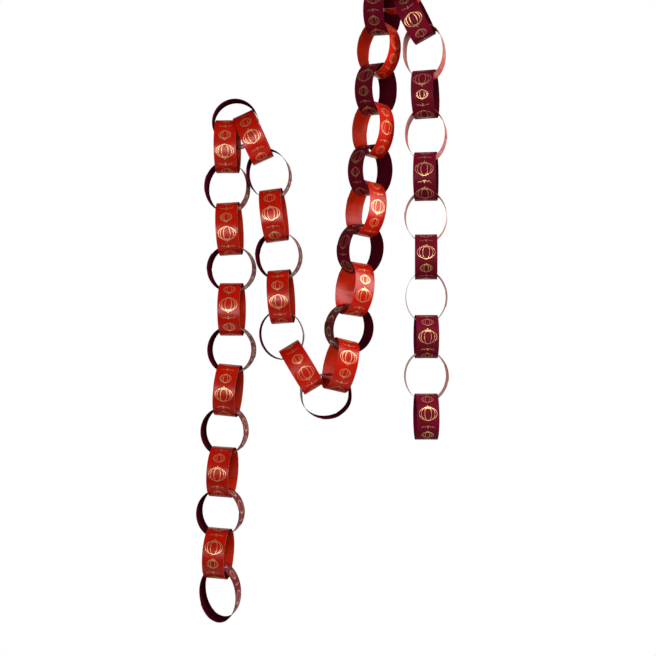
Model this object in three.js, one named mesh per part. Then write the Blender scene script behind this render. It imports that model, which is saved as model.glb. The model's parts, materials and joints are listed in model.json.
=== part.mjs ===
// A paper chain garland: 43 loops of coloured card, each one strip bent round, glued lap on
// itself, and threaded through the loop before it. The chain hangs over two pegs: a tail on
// the left, a swag between the pegs and a shorter tail on the right.
//
// Millimetres, +X right, +Y towards the wall, +Z up. The origin is the point where the left
// peg carries the chain: the inside of the top of link 13.

import * as THREE from 'three';

// The card strip, before it is bent
const STRIP_LENGTH = 180;
const STRIP_WIDTH = 25;
const CARD_THICKNESS = 0.35;

// The loop: a run of flat facets, and the last few of them lie over the strip's own start
const FACETS = 30;
const LAP_FACETS = 3;
const FACET_ANGLE = 2 * Math.PI / FACETS;
const LAP_LENGTH = 16;
const GIRTH = STRIP_LENGTH - LAP_LENGTH;

// A loop this near to round has the same height plus width however it is pulled
const HEIGHT_PLUS_WIDTH = 2 * GIRTH / Math.PI;

// Clear space between two loops that bear on each other
const CONTACT_GAP = 0.65;

// The link that hangs on each peg, and the one at the bottom of the swag
const LEFT_PEG_LINK = 13;
const SWAG_LINK = 21;
const RIGHT_PEG_LINK = 32;
const LINK_COUNT = 43;

const CARD = {
  maroon: { colour: 0x6a0d2e, roughness: 0.32, metalness: 0.05 },
  orange: { colour: 0xbe2a08, roughness: 0.30, metalness: 0.05 },
};

// How each loop hangs, from the free end of the left tail (link 1) to the free end of the
// right tail (link 43). The angles are degrees:
//   lean    swing of the lower end to the right, in the plane of the wall
//   twist   turn of the chain about its own line, clockwise from above
//   height  of the loop along the chain, in millimetres: a heavy load pulls a loop long
//   lap     where the strip starts, clockwise from the loop's top, seen into its opening
//   nod     dip of the edge that faces the room
//   square  how square the loop's shoulders are pulled: 2 is an ellipse
//   line    lean of the line to the loop nearer the left peg, where it isn't the usual one
//   pitch   length of that line, in millimetres, where it isn't the usual one
const HANG = [
  { lean: 6, twist: 10, height: 63, lap: 218, line: 3, pitch: 44.2 },
  { lean: -3, twist: 9, height: 57, lap: 262 },
  { lean: -2, twist: 10, height: 55, lap: 84 },
  { lean: -3, twist: 9, height: 57, lap: 250 },
  { lean: -4, twist: 9, height: 55, lap: 96 },
  { lean: -5, twist: 7, height: 59, lap: 270 },
  { lean: -2, twist: 8, height: 54, lap: 72 },
  { lean: 0, twist: 5, height: 60, lap: 258 },
  { lean: 2, twist: 7, height: 53, lap: 276 },
  { lean: 3, twist: 4, height: 60, lap: 264 },
  { lean: 0, twist: 6, height: 57, lap: 262 },
  { lean: 0, twist: 3, height: 60, lap: 252 },

  { lean: 0, twist: 0, height: 53, lap: 160 },

  { lean: 24, twist: 3, height: 58, lap: 255 },
  { lean: 15, twist: 5, height: 57, lap: 80, line: 23 },
  { lean: 7, twist: 6, height: 60, lap: 266 },
  { lean: 4, twist: 8, height: 55, lap: 280 },
  { lean: 4, twist: 7, height: 61, lap: 258, line: 3 },
  { lean: 12, twist: 2, height: 56, lap: 100, line: 1 },
  { lean: 31, twist: -5, height: 58, lap: 250, line: 31, pitch: 42.9 },

  { lean: 4, twist: -7, height: 49, lap: 158, nod: 4, square: 3.2 },

  { lean: -14, twist: -18, height: 60, lap: 262 },
  { lean: -9, twist: -24, height: 55, lap: 240 },
  { lean: -8, twist: -29, height: 61, lap: 268 },
  { lean: -8, twist: -34, height: 57.5, lap: 236 },
  { lean: -8, twist: -38, height: 63, lap: 254 },
  { lean: -4, twist: -42, height: 58, lap: 120 },
  { lean: -4, twist: -46, height: 63, lap: 270 },
  { lean: -4, twist: -51, height: 58, lap: 100 },
  { lean: -5, twist: -56, height: 62, lap: 260 },
  { lean: -5, twist: -62, height: 57, lap: 95 },

  { lean: 0, twist: -68, height: 48, lap: 200 },

  { lean: 26, twist: -73, height: 55, lap: 90 },
  { lean: 4, twist: -76, height: 60, lap: 230, square: 2.5, line: 15, pitch: 42 },
  { lean: 1, twist: -76, height: 54, lap: 96 },
  { lean: 0, twist: -79, height: 60, lap: 60 },
  { lean: 0, twist: -80, height: 55, lap: 234 },
  { lean: 1, twist: -83, height: 58, lap: 244 },
  { lean: 0, twist: -85, height: 51, lap: 88 },
  { lean: 0, twist: -87, height: 59, lap: 76 },
  { lean: 0, twist: -89, height: 49, lap: 92 },
  { lean: 0, twist: -90, height: 57, lap: 65 },
  { lean: 0, twist: -90, height: 52, lap: 80 },
];

// Three loops hold their two neighbours side by side. Each neighbour's near end lies this far
// up from the centre of the loop that holds it, and this far across that loop's own opening.
const SEATS = {
  12: { holder: LEFT_PEG_LINK, across: -9.6, up: 4.4 },
  14: { holder: LEFT_PEG_LINK, across: 7.9, up: 11.3 },
  20: { holder: SWAG_LINK, across: -13, up: 8 },
  22: { holder: SWAG_LINK, across: 9.3, up: 6 },
  31: { holder: RIGHT_PEG_LINK, across: -13, up: 7.8 },
  33: { holder: RIGHT_PEG_LINK, across: 10.4, up: -7.2 },
};

const radians = THREE.MathUtils.degToRad;
const signedPower = (value, power) => Math.sign(value) * Math.abs(value) ** power;

/** The loop's numbers: its half sizes to the middle of the card, its colour and its pose. */
function describeLink(number) {
  const hang = HANG[number - 1];
  const cardHeight = hang.height - CARD_THICKNESS;
  return {
    number,
    colour: number % 2 === 1 ? 'maroon' : 'orange',
    halfHeight: cardHeight / 2,
    square: hang.square ?? 2,
    halfWidth: (HEIGHT_PLUS_WIDTH - cardHeight) / 2,
    lean: radians(hang.lean),
    twist: radians(hang.twist),
    nod: radians(hang.nod ?? 0),
    lap: radians(hang.lap),
    line: hang.line === undefined ? undefined : radians(hang.line),
    pitch: hang.pitch,
    centre: new THREE.Vector3(),
  };
}

/**
 * A point of the loop at an angle clockwise from its top, moved out square to the card. The
 * loop's line is |across|^power + |up|^power = 1, in units of its half width and half height.
 */
function loopPoint(link, angle, outwards) {
  const power = Math.cos(angle) > 0 ? link.square : 2;
  const across = signedPower(Math.sin(angle), 2 / power);
  const up = signedPower(Math.cos(angle), 2 / power);
  const normal = new THREE.Vector2(
    signedPower(across, power - 1) / link.halfWidth,
    signedPower(up, power - 1) / link.halfHeight,
  ).normalize();
  return new THREE.Vector2(
    link.halfWidth * across + outwards * normal.x,
    link.halfHeight * up + outwards * normal.y,
  );
}

/** The card's edge seen end-on: a ring whose last facets lie over the strip's own start. */
function stripSection(link) {
  const half = CARD_THICKNESS / 2;
  const outerFace = [];
  const innerFace = [];
  for (let i = 0; i <= FACETS; i += 1) {
    const overStart = i >= FACETS - LAP_FACETS;
    const outerAngle = link.lap + (i + LAP_FACETS) * FACET_ANGLE;
    outerFace.push(loopPoint(link, outerAngle, overStart ? 3 * half : half));
    const liftedEnd = i === FACETS;
    innerFace.push(loopPoint(link, link.lap + i * FACET_ANGLE, liftedEnd ? half : -half));
  }
  const section = new THREE.Shape(outerFace);
  section.holes.push(new THREE.Path(innerFace.reverse()));
  return section;
}

/** The bent strip, centred on its own middle, with its opening along Y and its top up. */
function stripGeometry(link) {
  const geometry = new THREE.ExtrudeGeometry(stripSection(link), {
    depth: STRIP_WIDTH,
    steps: 1,
    bevelEnabled: false,
  });
  geometry.translate(0, 0, -STRIP_WIDTH / 2);
  geometry.rotateX(Math.PI / 2);
  return geometry;
}

/** How far the inside of a loop falls away from its crown, at a distance from its middle. */
function crownDrop(link, distance) {
  const halfWidth = link.halfWidth - CARD_THICKNESS / 2;
  const halfHeight = link.halfHeight - CARD_THICKNESS / 2;
  return halfHeight * (1 - Math.sqrt(1 - (distance / halfWidth) ** 2));
}

/** Lean of the line through two loops: it follows the one whose strip faces the room. */
function lineLean(previous, link) {
  if (link.line !== undefined) {
    return link.line;
  }
  const orange = link.colour === 'orange' ? link : previous;
  const maroon = link.colour === 'orange' ? previous : link;
  const maroonShare = Math.sin((previous.twist + link.twist) / 2) ** 2;
  return orange.lean * (1 - maroonShare) + maroon.lean * maroonShare;
}

/** How far a loop's strip tips sideways where it crosses its neighbour on a given line. */
function sidewaysTip(link, line) {
  const facing = link.colour === 'orange' ? Math.cos(link.twist) : Math.sin(link.twist);
  return Math.abs((link.lean - line) * facing);
}

/** How deep a strip's corner sits in the crown of the loop that it crosses. */
function cornerDepth(strip, crossed, line) {
  const skew = Math.abs(strip.twist - crossed.twist);
  const corner = STRIP_WIDTH / 2 * (1 + Math.sin(skew)) / Math.cos(skew);
  const tip = Math.sin(sidewaysTip(strip, line));
  return crownDrop(crossed, corner + strip.halfHeight * tip) + corner * tip;
}

/** Distance between the middles of two loops that hang in each other by their crowns. */
function crownToCrown(one, other, line) {
  const reach = one.halfHeight + other.halfHeight - CARD_THICKNESS;
  return reach - cornerDepth(one, other, line) - cornerDepth(other, one, line) - CONTACT_GAP;
}

/** Unit vector from a loop's middle to its lower end. */
function downwards(lean) {
  return new THREE.Vector3(Math.sin(lean), 0, -Math.cos(lean));
}

/** Turn of a loop about the vertical, clockwise from above, from facing the room. */
function facingTurn(link) {
  // Orange loops are threaded square to the maroon ones
  const threading = link.colour === 'orange' ? Math.PI / 2 : 0;
  return threading + link.twist;
}

/** The offset from a holding loop's middle to its neighbour's, from the neighbour's seat. */
function seatOffset(holder, link, seat, towardsLowerEnd) {
  const turn = facingTurn(holder);
  const nearEnd = new THREE.Vector3(
    seat.across * Math.cos(turn),
    -seat.across * Math.sin(turn),
    seat.up,
  );
  const outerHalf = link.halfHeight + CARD_THICKNESS / 2;
  return nearEnd.addScaledVector(downwards(link.lean), towardsLowerEnd * outerHalf);
}

/** Hangs a loop from the one before it, below it (+1) or above it (-1). */
function placeNext(previous, link, below) {
  const ownSeat = SEATS[link.number];
  const previousSeat = SEATS[previous.number];
  link.centre.copy(previous.centre);
  if (ownSeat?.holder === previous.number) {
    link.centre.add(seatOffset(previous, link, ownSeat, below));
  } else if (previousSeat?.holder === link.number) {
    link.centre.sub(seatOffset(link, previous, previousSeat, -below));
  } else {
    const line = lineLean(previous, link);
    const distance = link.pitch ?? crownToCrown(previous, link, line);
    link.centre.addScaledVector(downwards(line), below * distance);
  }
}

/** Works along the chain from the left peg, both ways, and gives every loop its place. */
function hangChain(links) {
  const at = (number) => links[number - 1];
  const pegLink = at(LEFT_PEG_LINK);
  pegLink.centre.set(0, 0, CARD_THICKNESS / 2 - pegLink.halfHeight);
  for (let number = LEFT_PEG_LINK - 1; number >= 1; number -= 1) {
    placeNext(at(number + 1), at(number), 1);
  }
  for (let number = LEFT_PEG_LINK + 1; number <= LINK_COUNT; number += 1) {
    const climbing = number > SWAG_LINK && number <= RIGHT_PEG_LINK;
    placeNext(at(number - 1), at(number), climbing ? -1 : 1);
  }
}

/** One loop as a named mesh inside the groups that lean and nod it. */
function hangLink(link) {
  const card = CARD[link.colour];
  const material = new THREE.MeshStandardMaterial({
    color: card.colour,
    roughness: card.roughness,
    metalness: card.metalness,
  });
  const strip = new THREE.Mesh(stripGeometry(link), material);
  strip.name = `link_${String(link.number).padStart(2, '0')}_${link.colour}`;
  strip.rotation.z = -facingTurn(link);

  const nodding = new THREE.Group();
  nodding.rotation.x = link.nod;
  nodding.add(strip);

  const leaning = new THREE.Group();
  leaning.position.copy(link.centre);
  leaning.rotation.y = -link.lean;
  leaning.add(nodding);
  return leaning;
}

const links = HANG.map((_, index) => describeLink(index + 1));
hangChain(links);

const garland = new THREE.Group();
garland.name = 'paper_chain_garland';
for (const link of links) {
  garland.add(hangLink(link));
}

export default garland;
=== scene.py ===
# %% [markdown]
# # A paper chain garland
# Strips of printed card are bent into loops, each one threaded through the loop before it.
# The frame below is the solid model of the chain. Its loops are faceted and one colour, so
# every one of them is replaced by a smooth sheet of card with a printed face, a plain face
# and a cut edge. Nothing is moved: each new strip is measured from the solid it stands for.

# %% Load the frame
import json
import math

import bpy
import numpy as np
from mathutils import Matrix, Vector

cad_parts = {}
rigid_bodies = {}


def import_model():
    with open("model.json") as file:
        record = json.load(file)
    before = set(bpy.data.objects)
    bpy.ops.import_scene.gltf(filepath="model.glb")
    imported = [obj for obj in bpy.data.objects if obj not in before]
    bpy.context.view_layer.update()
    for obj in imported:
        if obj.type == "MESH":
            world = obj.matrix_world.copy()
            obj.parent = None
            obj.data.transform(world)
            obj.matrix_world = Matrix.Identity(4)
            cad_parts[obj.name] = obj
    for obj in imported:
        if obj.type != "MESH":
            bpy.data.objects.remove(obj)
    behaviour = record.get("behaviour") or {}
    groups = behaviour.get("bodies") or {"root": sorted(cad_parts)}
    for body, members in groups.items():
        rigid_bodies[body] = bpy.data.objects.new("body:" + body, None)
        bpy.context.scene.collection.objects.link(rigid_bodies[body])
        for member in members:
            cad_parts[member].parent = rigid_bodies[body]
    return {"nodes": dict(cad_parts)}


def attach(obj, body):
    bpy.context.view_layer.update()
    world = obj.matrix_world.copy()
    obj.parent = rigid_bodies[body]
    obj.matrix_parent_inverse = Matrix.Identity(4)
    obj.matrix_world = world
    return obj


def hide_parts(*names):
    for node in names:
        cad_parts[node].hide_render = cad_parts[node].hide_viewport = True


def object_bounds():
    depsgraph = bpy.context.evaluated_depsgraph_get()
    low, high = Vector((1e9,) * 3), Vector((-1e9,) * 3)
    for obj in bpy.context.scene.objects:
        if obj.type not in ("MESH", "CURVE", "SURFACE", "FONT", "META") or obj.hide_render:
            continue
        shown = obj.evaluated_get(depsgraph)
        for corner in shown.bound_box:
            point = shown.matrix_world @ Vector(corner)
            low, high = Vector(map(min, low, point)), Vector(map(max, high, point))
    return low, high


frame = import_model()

cad_low, cad_high = [list(map(float, corner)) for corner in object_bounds()]
print("frame:", len(frame["nodes"]), "loops, from", cad_low, "to", cad_high)

# %% [markdown]
# ## The camera
# The garland hangs flat against a wall, so it is looked at square on, level, and from far
# enough away that a loop at the bottom looks like a loop at the top. A long lens does that.
# The camera comes first, because every later choice of light is judged through it.

# %% Camera
CAMERA_DISTANCE = 1.2
CAMERA_SIDE = 0.1045
CAMERA_HEIGHT = -0.2576

camera_data = bpy.data.cameras.new("camera")
camera_data.sensor_width = 36.0
camera_data.lens = 57.97
camera_data.clip_start = 0.05
camera = bpy.data.objects.new("camera", camera_data)
camera.location = (CAMERA_SIDE, -CAMERA_DISTANCE, CAMERA_HEIGHT)
camera.rotation_euler = (math.pi / 2, 0.0, 0.0)
bpy.context.scene.collection.objects.link(camera)
bpy.context.scene.camera = camera
print("camera at", tuple(round(v, 3) for v in camera.location), "lens", camera_data.lens)

# %% [markdown]
# ## Light
# Glossy card shows its shape by what it reflects. One soft light stands in front, close to the
# line of sight, so that each loop gets a pale band where its wall faces the room. A strong one
# on the right lifts the colour of the loops that turn that way, and a small one hangs in front
# above the right peg, so that the chain is brighter there than lower down.

# %% Soft lights
GARLAND_MIDDLE = ((cad_low[0] + cad_high[0]) / 2, 0.0, (cad_low[2] + cad_high[2]) / 2)


def aim(obj, target):
    """Turns an object so that its own -Z axis runs from its place to the target."""
    away = np.subtract(obj.location, target)
    flat = math.hypot(away[0], away[1])
    obj.rotation_euler = (math.atan2(flat, away[2]), 0.0, math.atan2(away[0], -away[1]))


def soft_light(name, place, width, height, watts):
    """Adds a rectangular soft light that faces the middle of the garland."""
    data = bpy.data.lights.new(name, "AREA")
    data.shape = "RECTANGLE"
    data.size = width
    data.size_y = height
    data.energy = watts
    light = bpy.data.objects.new(name, data)
    light.location = place
    aim(light, GARLAND_MIDDLE)
    bpy.context.scene.collection.objects.link(light)
    print(name, "at", place, watts, "W")
    return light


# Name, place, width, height and watts
SOFT_LIGHTS = (
    ("front_softbox", (-0.20, -1.60, -0.33), 0.7, 0.45, 9.5),
    ("right_softbox", (1.30, -0.45, 0.15), 0.6, 1.2, 20.0),
    ("upper_softbox", (0.45, -0.80, 0.50), 0.5, 0.5, 3.0),
)
for light in SOFT_LIGHTS:
    soft_light(*light)

# %% [markdown]
# ## The room
# The room is dark, so that the card keeps its depth of colour. Only the wall behind is pale.
# Gloss that is seen at a low angle, as on the sides of the right tail's loops, mirrors it. The
# camera itself sees plain white past the garland.

# %% Pale wall behind, dark room in front
AIR = (0.022, 0.020, 0.020, 1.0)
WALL = (0.74, 0.64, 0.60, 1.0)
BACKGROUND = (1.0, 1.0, 1.0, 1.0)
# How far a direction points to the back of the room where the wall begins, and where it is full
WALL_BEGINS = 0.60
WALL_FULL = 0.95

world = bpy.data.worlds.new("studio")
world.use_nodes = True
bpy.context.scene.world = world
air_nodes = world.node_tree.nodes
air_links = world.node_tree.links
air_nodes.clear()
direction = air_nodes.new("ShaderNodeTexCoord")
towards = air_nodes.new("ShaderNodeSeparateXYZ")
air_links.new(direction.outputs["Generated"], towards.inputs["Vector"])
near_wall = air_nodes.new("ShaderNodeMapRange")
near_wall.interpolation_type = "SMOOTHSTEP"
near_wall.inputs["From Min"].default_value = WALL_BEGINS
near_wall.inputs["From Max"].default_value = WALL_FULL
air_links.new(towards.outputs["Y"], near_wall.inputs["Value"])
shade = air_nodes.new("ShaderNodeMix")
shade.data_type = "RGBA"
shade.inputs["A"].default_value = AIR
shade.inputs["B"].default_value = WALL
air_links.new(near_wall.outputs["Result"], shade.inputs["Factor"])
air = air_nodes.new("ShaderNodeBackground")
air_links.new(shade.outputs["Result"], air.inputs["Color"])
backdrop = air_nodes.new("ShaderNodeBackground")
backdrop.inputs["Color"].default_value = BACKGROUND
which_ray = air_nodes.new("ShaderNodeLightPath")
either = air_nodes.new("ShaderNodeMixShader")
world_out = air_nodes.new("ShaderNodeOutputWorld")
air_links.new(which_ray.outputs["Is Camera Ray"], either.inputs["Fac"])
air_links.new(air.outputs["Background"], either.inputs[1])
air_links.new(backdrop.outputs["Background"], either.inputs[2])
air_links.new(either.outputs["Shader"], world_out.inputs["Surface"])
bpy.context.scene.view_settings.view_transform = "Standard"
print("air", AIR[:3], "wall", WALL[:3])

# %% [markdown]
# ## Shader arithmetic
# A print is a rule that says, for a place on the card, whether there is foil. Rules are sums,
# so the materials need a short way to write sums as nodes. Each helper below adds one node to
# a material and gives back its output, ready to be used in the next sum.

# %% Helpers for node sums


class Rules:
    """A material's node tree, with short names for the sums that its rules are made of."""

    def __init__(self, name):
        self.material = bpy.data.materials.new(name)
        self.material.use_nodes = True
        self.nodes = self.material.node_tree.nodes
        self.links = self.material.node_tree.links
        self.shader = self.nodes["Principled BSDF"]

    def plug(self, value, socket):
        """Sets a socket to a number or colour, or links it to an output."""
        if isinstance(value, bpy.types.NodeSocket):
            self.links.new(value, socket)
        else:
            socket.default_value = value

    def sum(self, operation, *values):
        """One maths node: the operation on one, two or three values."""
        node = self.nodes.new("ShaderNodeMath")
        node.operation = operation
        for value, socket in zip(values, node.inputs):
            self.plug(value, socket)
        return node.outputs[0]

    def step(self, value, low, high, start=0.0, end=1.0):
        """Runs smoothly from start to end as value goes from low to high."""
        node = self.nodes.new("ShaderNodeMapRange")
        node.interpolation_type = "SMOOTHSTEP"
        for number, name in ((low, "From Min"), (high, "From Max"), (start, "To Min"), (end, "To Max")):
            self.plug(number, node.inputs[name])
        self.plug(value, node.inputs["Value"])
        return node.outputs["Result"]

    def blend(self, share, first, second):
        """A colour between two colours: the first where share is 0, the second where it is 1."""
        node = self.nodes.new("ShaderNodeMix")
        node.data_type = "RGBA"
        self.plug(share, node.inputs["Factor"])
        self.plug(first, node.inputs["A"])
        self.plug(second, node.inputs["B"])
        return node.outputs["Result"]

    def place(self):
        """The point's own place on the object, in metres."""
        return self.nodes.new("ShaderNodeTexCoord").outputs["Object"]

    def noise(self, scale, detail=2.0, stretch=(1.0, 1.0, 1.0)):
        """Soft random patches, with this many to the metre, drawn out along an axis if asked."""
        mapping = self.nodes.new("ShaderNodeMapping")
        mapping.inputs["Scale"].default_value = stretch
        self.links.new(self.place(), mapping.inputs["Vector"])
        node = self.nodes.new("ShaderNodeTexNoise")
        node.inputs["Scale"].default_value = scale
        node.inputs["Detail"].default_value = detail
        self.links.new(mapping.outputs["Vector"], node.inputs["Vector"])
        return node.outputs["Fac"]

    def strip_place(self):
        """Millimetres along the strip and across it, from the strip's own UV map."""
        node = self.nodes.new("ShaderNodeUVMap")
        node.uv_map = STRIP_MAP
        split = self.nodes.new("ShaderNodeSeparateXYZ")
        self.links.new(node.outputs["UV"], split.inputs["Vector"])
        return split.outputs["X"], split.outputs["Y"]

    def bump(self, height, depth, normal=None):
        """Dents the surface by a height field that is this deep, in metres."""
        node = self.nodes.new("ShaderNodeBump")
        node.inputs["Distance"].default_value = depth
        self.plug(height, node.inputs["Height"])
        if normal is not None:
            self.links.new(normal, node.inputs["Normal"])
        return node.outputs["Normal"]


STRIP_MAP = "strip"
print("node sums ready")

# %% [markdown]
# ## The foil print
# A row of line drawings runs along every strip: a large pumpkin, a small one and a little
# winged curl, stamped in gold foil. A line is drawn where the distance to a curve is less
# than half of the foil's width. For an oval the distance is close to the size of the oval's
# own equation, less one, over the length of its slope, which needs no loops or pictures.

# %% Rules for the foil lines
PRINT_REPEAT = 45.0
BIG_PUMPKIN = 33.5
SMALL_PUMPKIN = 15.0
WINGED_CURL = 3.5
PUMPKIN_HALF_WIDTH = 9.9
PUMPKIN_HALF_HEIGHT = 7.9
SMALL_SCALE = 0.66
# Width and height of each rib, as shares of the pumpkin's own
RIBS = ((1.0, 0.91), (0.76, 0.97), (0.38, 1.0))
# Half the width of a line, the most it swells and thins, and how soft its edge is
FOIL_LINE = 0.22
STROKE_SWELL = 1.15
STROKE_THIN = 0.8
LINE_SOFTNESS = 0.08
# The dip at the top, and how fast it ends to the sides
DIP_DEPTH = 1.1
DIP_NARROWNESS = 0.35
# The stem: its middle above the top rib, half its length and width, and its lean
STEM_ABOVE = 0.3
STEM_HALF_LENGTH = 1.2
STEM_HALF_WIDTH = 0.35
STEM_LEAN = 0.35
# The ovals at the foot of the stem: to the side, below the top, half width and half height
TENDRIL_SIDE = 2.1
TENDRIL_BELOW = 1.2
TENDRIL_SIZE = (1.5, 1.0)
# The winged curl: the width and height of a scallop, two on each side, the slope of the row of
# scallops down to the tip, how much a sloping line shortens its distance, and the body's halves
SCALLOP_WIDTH = 3.6
SCALLOP_HEIGHT = 1.2
WING_REACH = 2 * SCALLOP_WIDTH
WING_SLOPE = 0.16
WING_SHORTENING = 0.8
BODY_HALF_HEIGHT = 1.4
BODY_HALF_WIDTH = 0.4
# Where a row's small pumpkin ends and its large one begins
SIZES_MEET = (BIG_PUMPKIN + SMALL_PUMPKIN) / 2 - 1.0


def oval_distance(rules, x, y, half_width, half_height):
    """Distance to an oval: |F - 1| / |slope of F|, where F = (x/a)^2 + (y/b)^2."""
    across = rules.sum("DIVIDE", x, half_width)
    along = rules.sum("DIVIDE", y, half_height)
    level = rules.sum("MULTIPLY_ADD", across, across, rules.sum("MULTIPLY", along, along))
    slope_x = rules.sum("DIVIDE", across, half_width)
    slope_y = rules.sum("DIVIDE", along, half_height)
    slope = rules.sum("MULTIPLY_ADD", slope_x, slope_x, rules.sum("MULTIPLY", slope_y, slope_y))
    slope = rules.sum("MULTIPLY", rules.sum("SQRT", slope), 2.0)
    return rules.sum("DIVIDE", rules.sum("ABSOLUTE", rules.sum("SUBTRACT", level, 1.0)), slope)


def pumpkin_distance(rules, x, y):
    """Distance to the nearest line of a pumpkin: nested ovals, a dip, a stem and two small ovals.

    The stem is on the side where y is less than 0. The dip is its depth times e to the power
    of -(narrowness * x^2), and it fades out from the top to the middle.
    """
    narrowed = rules.sum("MULTIPLY", rules.sum("MULTIPLY", x, x), -DIP_NARROWNESS)
    near_middle = rules.sum("EXPONENT", narrowed)
    near_top = rules.step(y, 0.0, -PUMPKIN_HALF_HEIGHT)
    dip = rules.sum("MULTIPLY", rules.sum("MULTIPLY", near_middle, near_top), DIP_DEPTH)
    y_dipped = rules.sum("SUBTRACT", y, dip)
    nearest = None
    for width, height in RIBS:
        half_width, half_height = PUMPKIN_HALF_WIDTH * width, PUMPKIN_HALF_HEIGHT * height
        line = oval_distance(rules, x, y_dipped, half_width, half_height)
        nearest = line if nearest is None else rules.sum("MINIMUM", nearest, line)
    # The stem leans as it rises from the dip
    rise = rules.sum("SUBTRACT", rules.sum("MULTIPLY", y, -1.0), PUMPKIN_HALF_HEIGHT + STEM_ABOVE)
    leaning = rules.sum("SUBTRACT", x, rules.sum("MULTIPLY", rise, STEM_LEAN))
    past_end = rules.sum("SUBTRACT", rules.sum("ABSOLUTE", rise), STEM_HALF_LENGTH)
    beyond = rules.sum("MAXIMUM", past_end, 0.0)
    beside = rules.sum("SUBTRACT", rules.sum("ABSOLUTE", leaning), STEM_HALF_WIDTH)
    stem = rules.sum("MAXIMUM", beside, beyond)
    side = rules.sum("SUBTRACT", rules.sum("ABSOLUTE", x), TENDRIL_SIDE)
    below_top = rules.sum("ADD", y, PUMPKIN_HALF_HEIGHT - TENDRIL_BELOW)
    tendril = oval_distance(rules, side, below_top, *TENDRIL_SIZE)
    return rules.sum("MINIMUM", nearest, rules.sum("MINIMUM", stem, tendril))


def curl_distance(rules, x, y):
    """Distance to a winged curl: two scallops each side, y = height * |sin| of x less a slope.

    A short upright bar is its body. The line's distance is measured along y, and made a
    little smaller, because the line slopes.
    """
    side = rules.sum("ABSOLUTE", x)
    turns = rules.sum("MULTIPLY", side, math.pi / SCALLOP_WIDTH)
    scallop = rules.sum("MULTIPLY", rules.sum("ABSOLUTE", rules.sum("SINE", turns)), SCALLOP_HEIGHT)
    wing = rules.sum("SUBTRACT", scallop, rules.sum("MULTIPLY", side, WING_SLOPE))
    line = rules.sum("MULTIPLY", rules.sum("ABSOLUTE", rules.sum("ADD", y, wing)), WING_SHORTENING)
    past_tip = rules.sum("MAXIMUM", rules.sum("SUBTRACT", side, WING_REACH), 0.0)
    body = rules.sum("SUBTRACT", rules.sum("ABSOLUTE", y), BODY_HALF_HEIGHT)
    body = rules.sum("MAXIMUM", rules.sum("SUBTRACT", side, BODY_HALF_WIDTH), body)
    return rules.sum("MINIMUM", rules.sum("MAXIMUM", line, past_tip), body)


def foil_share(rules, stem_side):
    """1 on the foil lines and 0 off them. The stems are on the stem_side, 1 or -1, of the row."""
    along, across = rules.strip_place()
    row = rules.sum("WRAP", along, PRINT_REPEAT, 0.0)
    is_big = rules.sum("GREATER_THAN", row, SIZES_MEET)
    middle = rules.sum("MULTIPLY_ADD", is_big, BIG_PUMPKIN - SMALL_PUMPKIN, SMALL_PUMPKIN)
    scale = rules.sum("MULTIPLY_ADD", is_big, 1.0 - SMALL_SCALE, SMALL_SCALE)
    y = rules.sum("MULTIPLY", rules.sum("DIVIDE", rules.sum("SUBTRACT", row, middle), scale), -stem_side)
    x = rules.sum("DIVIDE", across, scale)
    pumpkin = rules.sum("MULTIPLY", pumpkin_distance(rules, x, y), scale)
    past_curl = rules.sum("MULTIPLY", rules.sum("SUBTRACT", row, WINGED_CURL), -stem_side)
    curl = curl_distance(rules, across, past_curl)
    nearest = rules.sum("MINIMUM", pumpkin, curl)
    # The line swells and thins a little, as a brush stroke does
    stroke = rules.noise(90.0, 0.0)
    width = rules.step(stroke, 0.3, 0.7, FOIL_LINE * STROKE_THIN, FOIL_LINE * STROKE_SWELL)
    past_edge = rules.sum("SUBTRACT", nearest, width)
    return rules.step(past_edge, -LINE_SOFTNESS, LINE_SOFTNESS, 1.0, 0.0)


print("foil lines", 2 * FOIL_LINE, "mm wide, repeat", PRINT_REPEAT, "mm")

# %% [markdown]
# ## Card
# The card is coloured on both sides and varnished, the orange card more than the maroon. The
# plain side's colour carries painted light and shade: the maroon's is darker than its printed
# side, as painted shade in the loops' insides, and the orange's is lighter, as painted light on
# the insides that the right-hand light falls on. The card has a fine fibre grain, faint
# cloudiness in the colour, and gloss that comes and goes where fingers have bent it. The cut
# edge shows the core. Foil is mostly metal, so it takes its brightness from what it mirrors,
# and it lies a hundredth of a millimetre proud.

# %% Card materials
FOIL_COLOUR = (1.0, 0.60, 0.27, 1.0)
FOIL_ROUGHNESS = 0.35
FOIL_METAL = 0.82
FOIL_HEIGHT = 0.00001
GRAIN_DEPTH = 0.00004
RIPPLE_DEPTH = 0.0005
# How many clouds, fibres, grains and ripples there are to the metre
CLOUDS = 55.0
FIBRES = 900.0
GRAINS = 2600.0
RIPPLES = 60.0


def card_colour(rules, colour, depth):
    """The card's own colour, darker by up to depth in soft clouds and along the fibres."""
    clouds = rules.noise(CLOUDS, 3.0)
    fibres = rules.noise(FIBRES, 2.0, (1.0, 1.0, 0.35))
    shade = rules.sum("MULTIPLY_ADD", clouds, 0.7, rules.sum("MULTIPLY", fibres, 0.3))
    darker = tuple(channel * (1.0 - depth) for channel in colour[:3]) + (1.0,)
    return rules.blend(rules.step(shade, 0.35, 0.65), darker, colour)


def card_grain(rules):
    """Fibre grain and slow ripples, as a bumped normal."""
    grain = rules.bump(rules.noise(GRAINS, 2.0), GRAIN_DEPTH)
    return rules.bump(rules.noise(RIPPLES, 0.0), RIPPLE_DEPTH, grain)


def plain_card(name, colour, roughness, varnish):
    """The unprinted side: even colour, fibre grain and this much varnish."""
    rules = Rules(name)
    rules.plug(card_colour(rules, colour, 0.22), rules.shader.inputs["Base Color"])
    gloss = rules.step(rules.noise(40.0), 0.3, 0.7, roughness - 0.05, roughness + 0.07)
    rules.plug(gloss, rules.shader.inputs["Roughness"])
    rules.plug(card_grain(rules), rules.shader.inputs["Normal"])
    rules.plug(varnish, rules.shader.inputs["Specular IOR Level"])
    print(name, len(rules.nodes), "nodes")
    return rules.material


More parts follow.
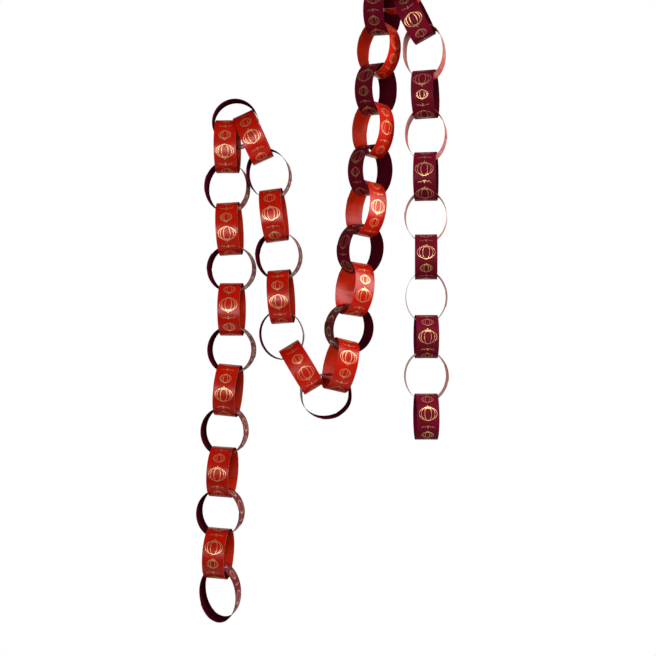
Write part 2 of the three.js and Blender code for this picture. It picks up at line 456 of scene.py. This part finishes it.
def printed_card(name, colour, roughness, varnish, stem_side):
    """The printed side: the card's colour, varnished, with foil line drawings on it."""
    rules = Rules(name)
    foil = foil_share(rules, stem_side)
    rules.plug(
        rules.blend(foil, card_colour(rules, colour, 0.16), FOIL_COLOUR),
        rules.shader.inputs["Base Color"],
    )
    rules.plug(rules.sum("MULTIPLY", foil, FOIL_METAL), rules.shader.inputs["Metallic"])
    gloss = rules.step(rules.noise(45.0), 0.3, 0.7, roughness - 0.05, roughness + 0.06)
    smoother = rules.sum("MULTIPLY_ADD", foil, FOIL_ROUGHNESS - roughness, gloss)
    rules.plug(smoother, rules.shader.inputs["Roughness"])
    rules.plug(rules.bump(foil, FOIL_HEIGHT, card_grain(rules)), rules.shader.inputs["Normal"])
    rules.plug(varnish, rules.shader.inputs["Specular IOR Level"])
    print(name, len(rules.nodes), "nodes")
    return rules.material


def cut_edge(name, colour):
    """The strip's edge: the rough paper core, with next to no gloss."""
    rules = Rules(name)
    rules.plug(card_colour(rules, colour, 0.35), rules.shader.inputs["Base Color"])
    rules.plug(0.8, rules.shader.inputs["Roughness"])
    rules.plug(0.1, rules.shader.inputs["Specular IOR Level"])
    rules.plug(rules.bump(rules.noise(3000.0, 3.0), GRAIN_DEPTH), rules.shader.inputs["Normal"])
    print(name, len(rules.nodes), "nodes")
    return rules.material


STEMS_BEFORE = -1
STEMS_AFTER = 1
# Each face is a colour, a roughness and a varnish, from 0 for bare card to 0.5 for a full coat
PRINTED = {
    (colour, side): printed_card("%s_card_printed_%s" % (colour, word), face, roughness, varnish, side)
    for side, word in ((STEMS_BEFORE, "stems_before"), (STEMS_AFTER, "stems_after"))
    for colour, face, roughness, varnish in (
        ("orange", (0.56, 0.007, 0.0006, 1.0), 0.27, 0.34),
        ("maroon", (0.190, 0.005, 0.020, 1.0), 0.38, 0.05),
    )
}
PLAIN_AND_EDGE = {
    "orange": (
        # Lighter than the printed orange: painted light on the insides that the right-hand light falls
        # on
        plain_card("orange_card_plain_painted_light", (0.80, 0.024, 0.0008, 1.0), 0.34, 0.42),
        cut_edge("orange_card_edge", (0.62, 0.22, 0.13, 1.0)),
    ),
    "maroon": (
        # Darker than the printed maroon: painted shade in the loops' insides
        plain_card("maroon_card_plain_painted_shade", (0.090, 0.003, 0.012, 1.0), 0.60, 0.0),
        cut_edge("maroon_card_edge", (0.10, 0.020, 0.035, 1.0)),
    ),
}

# %% [markdown]
# ## Measure the solids
# Each solid is a ring of flat facets with one lapped stretch. Its walls all run square to the
# strip's width, so the direction that no wall faces is the width. In the plane square to it,
# the inner corners lie on a smooth closed curve, and a short series of waves through them
# gives that curve at any angle. Corners two layers out show where the lap lies.

# %% Measure one loop
CARD_THICKNESS = 0.00035
WAVES = 7
FIT_ROUNDS = 4
# The way each colour's loops open, as the chain is hung: towards the room and to one side
OPENS_TOWARDS = {"maroon": np.array((0.6, -0.8, 0.0)), "orange": np.array((-0.6, -0.8, 0.0))}


def read_mesh(node):
    """A solid's corner points, and its faces' normals and areas, as arrays."""
    mesh = node.data
    corners = np.empty(len(mesh.vertices) * 3, np.float32)
    mesh.vertices.foreach_get("co", corners)
    normals = np.empty(len(mesh.polygons) * 3, np.float32)
    mesh.polygons.foreach_get("normal", normals)
    areas = np.empty(len(mesh.polygons), np.float32)
    mesh.polygons.foreach_get("area", areas)
    corners = np.unique(np.round(corners.reshape(-1, 3).astype(float), 7), axis=0)
    return corners, normals.reshape(-1, 3).astype(float), areas.astype(float)


def wave_columns(angle):
    """1, cos(k angle) and sin(k angle) for k = 1 to WAVES, one column each."""
    k = np.arange(1, WAVES + 1)
    turns = np.outer(angle, k)
    return np.hstack([np.ones((len(angle), 1)), np.cos(turns), np.sin(turns)])


def measure_loop(node, colour):
    """Directions, middle, inner curve and lap of a bent strip, from its solid.

    The width axis is the direction least faced by the walls: the smallest eigenvector of the
    sum of area * normal * normal. Angles run clockwise from the top, seen into the opening.
    The waves are fitted in rounds, and each round keeps only the corners near the last curve.
    """
    corners, normals, areas = read_mesh(node)
    _, directions = np.linalg.eigh((normals * areas[:, None]).T @ normals)
    axis = directions[:, 0]
    axis = axis * np.sign(axis @ OPENS_TOWARDS[colour])
    up = np.array((0.0, 0.0, 1.0)) - axis * axis[2]
    up = up / np.linalg.norm(up)
    right = np.cross(up, axis)
    middle = (corners.min(axis=0) + corners.max(axis=0)) / 2
    near = corners[(corners - middle) @ axis > 0]
    depth = ((near - middle) @ axis).mean()
    flat = np.stack([(near - middle) @ right, (near - middle) @ up], axis=1)
    angle = np.arctan2(flat[:, 0], flat[:, 1])
    radius = np.hypot(flat[:, 0], flat[:, 1])
    inner = np.ones(len(angle), bool)
    for _ in range(FIT_ROUNDS):
        waves, *_ = np.linalg.lstsq(wave_columns(angle[inner]), radius[inner], rcond=None)
        above = radius - wave_columns(angle) @ waves
        inner = above < 0.4 * CARD_THICKNESS + min(0.0, above.min()) / 2
    layers = above / CARD_THICKNESS
    flap = angle[layers > 1.5]
    spread = np.angle(np.exp(1j * (flap - np.angle(np.exp(1j * flap).sum()))))
    flap_middle = np.angle(np.exp(1j * flap).sum())
    return {
        "axis": axis, "up": up, "right": right, "middle": middle, "half_width": depth,
        "waves": waves, "lap_start": flap_middle + spread.min(), "lap_end": flap_middle + spread.max(),
        "misfit": np.abs(above[inner]).max(),
    }


def node_colour(name):
    """The colour at the end of a node's name."""
    return name.rsplit("_", 1)[1]


def node_number(name):
    """A loop's place in the chain, from the middle of its node's name."""
    return int(name.split("_")[1])


LOOPS = {name: measure_loop(node, node_colour(name)) for name, node in sorted(frame["nodes"].items())}
worst = max(loop["misfit"] for loop in LOOPS.values())
laps = [math.degrees(loop["lap_end"] - loop["lap_start"]) for loop in LOOPS.values()]
print("inner curves within %.3f mm, laps %.0f to %.0f degrees" % (worst * 1000, min(laps), max(laps)))

# %% [markdown]
# ## Bend the strips
# A strip of card is a flat rectangle carried round the loop's curve: it starts at the lap,
# goes once round, climbs one thickness and lies over its own start, where it is glued. So the
# shape is a thin rectangle, the card's cross section, swept along a path. The rows of points
# are evenly spaced, and the corners of the rectangle are eased a little, as a blade leaves
# them.

# %% Path and section of a strip
ROWS = 132
FINE_STEPS = 1500
POINTS_ACROSS = 7
SHEET = CARD_THICKNESS * 0.94
CLIMB = math.radians(12.0)
EASE = 0.00008
FLAP_LIFT = 0.00018
# The order of the three finishes on a strip
PRINTED_FACE = 0
PLAIN_FACE = 1
CUT_EDGE = 2


def strip_path(loop):
    """Points and outward normals along the strip's middle, and the length in metres to each.

    Radius = inner curve + (layer + 1/2) * thickness. The layer climbs from 0 to 1 on a smooth
    step over the last few degrees before the strip meets its own start again. The glued
    flap's free end lifts by the cube of its share of the flap.
    """
    whole = loop["lap_start"] + 2 * math.pi
    end = whole + loop["lap_end"] - loop["lap_start"]
    angle = np.linspace(loop["lap_start"], end, FINE_STEPS)
    climb = np.clip((angle - whole + CLIMB) / CLIMB, 0.0, 1.0)
    layer = climb ** 2 * (3 - 2 * climb)
    lift = np.clip((angle - whole) / (end - whole), 0.0, 1.0) ** 3 * FLAP_LIFT
    radius = wave_columns(angle) @ loop["waves"] + (layer + 0.5) * CARD_THICKNESS + lift
    flat = np.stack([radius * np.sin(angle), radius * np.cos(angle)], axis=1)
    length = np.concatenate([[0.0], np.cumsum(np.hypot(*np.diff(flat, axis=0).T))])
    even = np.linspace(0.0, length[-1], ROWS)
    flat = np.stack([np.interp(even, length, flat[:, k]) for k in (0, 1)], axis=1)
    tangent = np.gradient(flat, axis=0)
    tangent /= np.linalg.norm(tangent, axis=1)[:, None]
    outward = np.stack([-tangent[:, 1], tangent[:, 0]], axis=1)
    return flat, outward, even, np.interp(even, length, angle)


def card_section(half_width):
    """The card's cross section, across and out, in one turn, and each side's kind of face.

    Long sides are cut into equal parts, and the four corners are eased by a short slope.
    """
    half = SHEET / 2
    across = np.linspace(-(half_width - EASE), half_width - EASE, POINTS_ACROSS)
    top = np.stack([across, np.full(POINTS_ACROSS, half)], axis=1)
    bottom = np.stack([across[::-1], np.full(POINTS_ACROSS, -half)], axis=1)
    right_edge = np.array([(half_width, half - EASE), (half_width, EASE - half)])
    left_edge = right_edge[::-1] * (-1, 1)
    section = np.concatenate([top, right_edge, bottom, left_edge])
    long_side = POINTS_ACROSS - 1
    kinds = [PRINTED_FACE] * long_side + [CUT_EDGE] * 3 + [PLAIN_FACE] * long_side + [CUT_EDGE] * 3
    return section, np.array(kinds)


print("section of", len(card_section(1.0)[0]), "points, path of", ROWS, "rows")

# %% [markdown]
# ## Which way the print runs
# Whoever glued the chain took no notice of the print, so on some loops the row runs down the
# wall that faces the room and on others up it, and it starts at another place on each.

# %% Place of the print on each loop
ROOM = np.array((0.0, -1.0, 0.0))
# Millimetres that the large pumpkin sits below the wall's middle, row turned over, printing
PRINT_PLACE = {
    2: (-11, True, STEMS_AFTER), 4: (0, False, STEMS_BEFORE), 6: (4, False, STEMS_BEFORE),
    8: (-5, False, STEMS_AFTER), 10: (7, False, STEMS_AFTER), 12: (9, False, STEMS_AFTER),
    14: (3, False, STEMS_BEFORE), 16: (0, False, STEMS_BEFORE), 18: (6, False, STEMS_AFTER),
    20: (8, False, STEMS_AFTER), 22: (-12, True, STEMS_BEFORE), 24: (6, False, STEMS_BEFORE),
    26: (-3, True, STEMS_BEFORE), 27: (-13, True, STEMS_BEFORE), 28: (-1, False, STEMS_BEFORE),
    29: (-11, True, STEMS_AFTER), 30: (-6, True, STEMS_BEFORE), 33: (6, True, STEMS_BEFORE),
    35: (-14, True, STEMS_BEFORE), 37: (-21, True, STEMS_AFTER), 39: (-4, True, STEMS_AFTER),
    41: (0, False, STEMS_BEFORE), 43: (-5, False, STEMS_BEFORE),
}


def print_place(number):
    """The print's place on a loop. A loop that isn't listed follows its place in the chain."""
    unlisted = (number * 7 % PRINT_REPEAT, number % 4 < 2, STEMS_BEFORE if number % 3 else STEMS_AFTER)
    return PRINT_PLACE.get(number, unlisted)


def print_coordinates(loop, number, along, angle):
    """Millimetres along the print for each row, and the sign that turns the print over.

    The row on the wall that faces the room is found from its angle. Down that wall the angle
    rises if the wall is on the clockwise side of the top, and falls on the other.
    """
    facing = math.atan2(loop["right"] @ ROOM, loop["up"] @ ROOM)
    gap = np.abs(np.angle(np.exp(1j * (angle - facing))))
    front = along[np.argmin(gap)]
    downwards = 1.0 if math.sin(facing) > 0 else -1.0
    shift, turned, _ = print_place(number)
    turn = -1.0 if turned else 1.0
    below = (along - front) * 1000.0 * downwards - shift
    return BIG_PUMPKIN + turn * below, turn * downwards


print(len(PRINT_PLACE), "loops with a print place of their own")

# %% [markdown]
# ## Make every strip
# The section is swept along the path and both ends are closed. The strip map is unrolled with
# it: millimetres along the print and across it. Every strip then gets its three finishes, and
# takes the place of the solid that it was measured from.

# %% Sweep the card and lay the strip map
SHARP_CORNER = math.radians(40.0)


def swept_points(loop, flat, outward, section):
    """Path point + across * axis + out * outward normal, for every row and section point."""
    plane = np.stack([loop["right"], loop["up"]])
    middle_line = loop["middle"] + flat @ plane
    normal = outward @ plane
    points = (
        middle_line[:, None, :]
        + section[None, :, 1, None] * normal[:, None, :]
        + section[None, :, 0, None] * loop["axis"]
    )
    return points.reshape(-1, 3)


def swept_faces(rows, around):
    """Quads between neighbouring rows of a closed section, and the two end caps."""
    row, column = np.meshgrid(np.arange(rows - 1), np.arange(around), indexing="ij")
    after = (column + 1) % around
    corners = [row * around + column, row * around + after]
    corners += [(row + 1) * around + after, (row + 1) * around + column]
    quads = np.stack(corners, axis=-1).reshape(-1, 4)
    caps = [list(range(around))[::-1], list(range((rows - 1) * around, rows * around))]
    return quads.tolist() + caps


def lay_strip_map(mesh, place, across):
    """Gives each face corner its millimetres along the print and across the strip."""
    vertex = np.empty(len(mesh.loops), np.int32)
    mesh.loops.foreach_get("vertex_index", vertex)
    around = len(across)
    strip_map = np.stack([place[vertex // around], across[vertex % around]], axis=1)
    layer = mesh.uv_layers.new(name=STRIP_MAP)
    layer.data.foreach_set("uv", strip_map.astype(np.float32).ravel())


def bend_strip(name, loop):
    """Sweeps the card's section along the loop's path and closes both ends."""
    flat, outward, along, angle = strip_path(loop)
    section, kinds = card_section(loop["half_width"])
    mesh = bpy.data.meshes.new(name + "_card")
    mesh.from_pydata(swept_points(loop, flat, outward, section), [], swept_faces(ROWS, len(section)))
    mesh.polygons.foreach_set("material_index", np.append(np.tile(kinds, ROWS - 1), [CUT_EDGE] * 2))
    mesh.polygons.foreach_set("use_smooth", np.ones(len(mesh.polygons), bool))
    place, turn = print_coordinates(loop, node_number(name), along, angle)
    lay_strip_map(mesh, place, section[:, 0] * 1000.0 * turn)
    mesh.update()
    mesh.set_sharp_from_angle(angle=SHARP_CORNER)
    strip = bpy.data.objects.new(name + "_card", mesh)
    bpy.context.scene.collection.objects.link(strip)
    return strip


for name, loop in LOOPS.items():
    colour = node_colour(name)
    strip = bend_strip(name, loop)
    printing = print_place(node_number(name))[2]
    for finish in (PRINTED[colour, printing], *PLAIN_AND_EDGE[colour]):
        strip.data.materials.append(finish)
    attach(strip, "root")
    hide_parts(name)
faces = sum(len(o.data.polygons) for o in bpy.data.objects if o.name.endswith("_card"))
print(len(LOOPS), "strips,", faces, "faces")

# %% [markdown]
# ## The floor
# The garland hangs well above the ground. A wide pale disc stands for the floor. Its rim
# falls away, so that it has no hard edge, and it is rough enough to take no reflection.

# %% Floor
FLOOR_DROP = 0.9
FLOOR_RADIUS = 1.2
FLOOR_RINGS = 14
FLOOR_STEPS = 72
RIM_BEGINS = 0.9
RIM_FALL = 0.02


def floor_mesh(name, radius, height):
    """A disc on a grid of radius and angle. Its rim bends down on a quarter cosine."""
    share = np.linspace(0.02, 1.0, FLOOR_RINGS)
    angle = np.linspace(2 * math.pi, 0.0, FLOOR_STEPS + 1)[:-1]
    reach, turn = np.meshgrid(share, angle, indexing="ij")
    past_rim = np.maximum(reach - RIM_BEGINS, 0.0) / (1.0 - RIM_BEGINS)
    fall = (1 - np.cos(past_rim * math.pi / 2)) * RIM_FALL
    x = reach * radius * np.cos(turn) + GARLAND_MIDDLE[0]
    points = np.stack([x, reach * radius * np.sin(turn), height - fall], axis=-1).reshape(-1, 3)
    faces = swept_faces(FLOOR_RINGS, FLOOR_STEPS)[:-1]
    mesh = bpy.data.meshes.new(name)
    mesh.from_pydata(points, [], faces)
    mesh.polygons.foreach_set("use_smooth", np.ones(len(mesh.polygons), bool))
    return mesh


floor = bpy.data.objects.new("floor", floor_mesh("floor", FLOOR_RADIUS, cad_low[2] - FLOOR_DROP))
bpy.context.scene.collection.objects.link(floor)
floor_rules = Rules("pale_floor")
floor_rules.plug(
    floor_rules.blend(floor_rules.noise(6.0, 3.0), (0.80, 0.80, 0.79, 1.0), (0.86, 0.86, 0.85, 1.0)),
    floor_rules.shader.inputs["Base Color"],
)
floor_rules.plug(0.9, floor_rules.shader.inputs["Roughness"])
floor.data.materials.append(floor_rules.material)
print("floor at", round(cad_low[2] - FLOOR_DROP, 3))
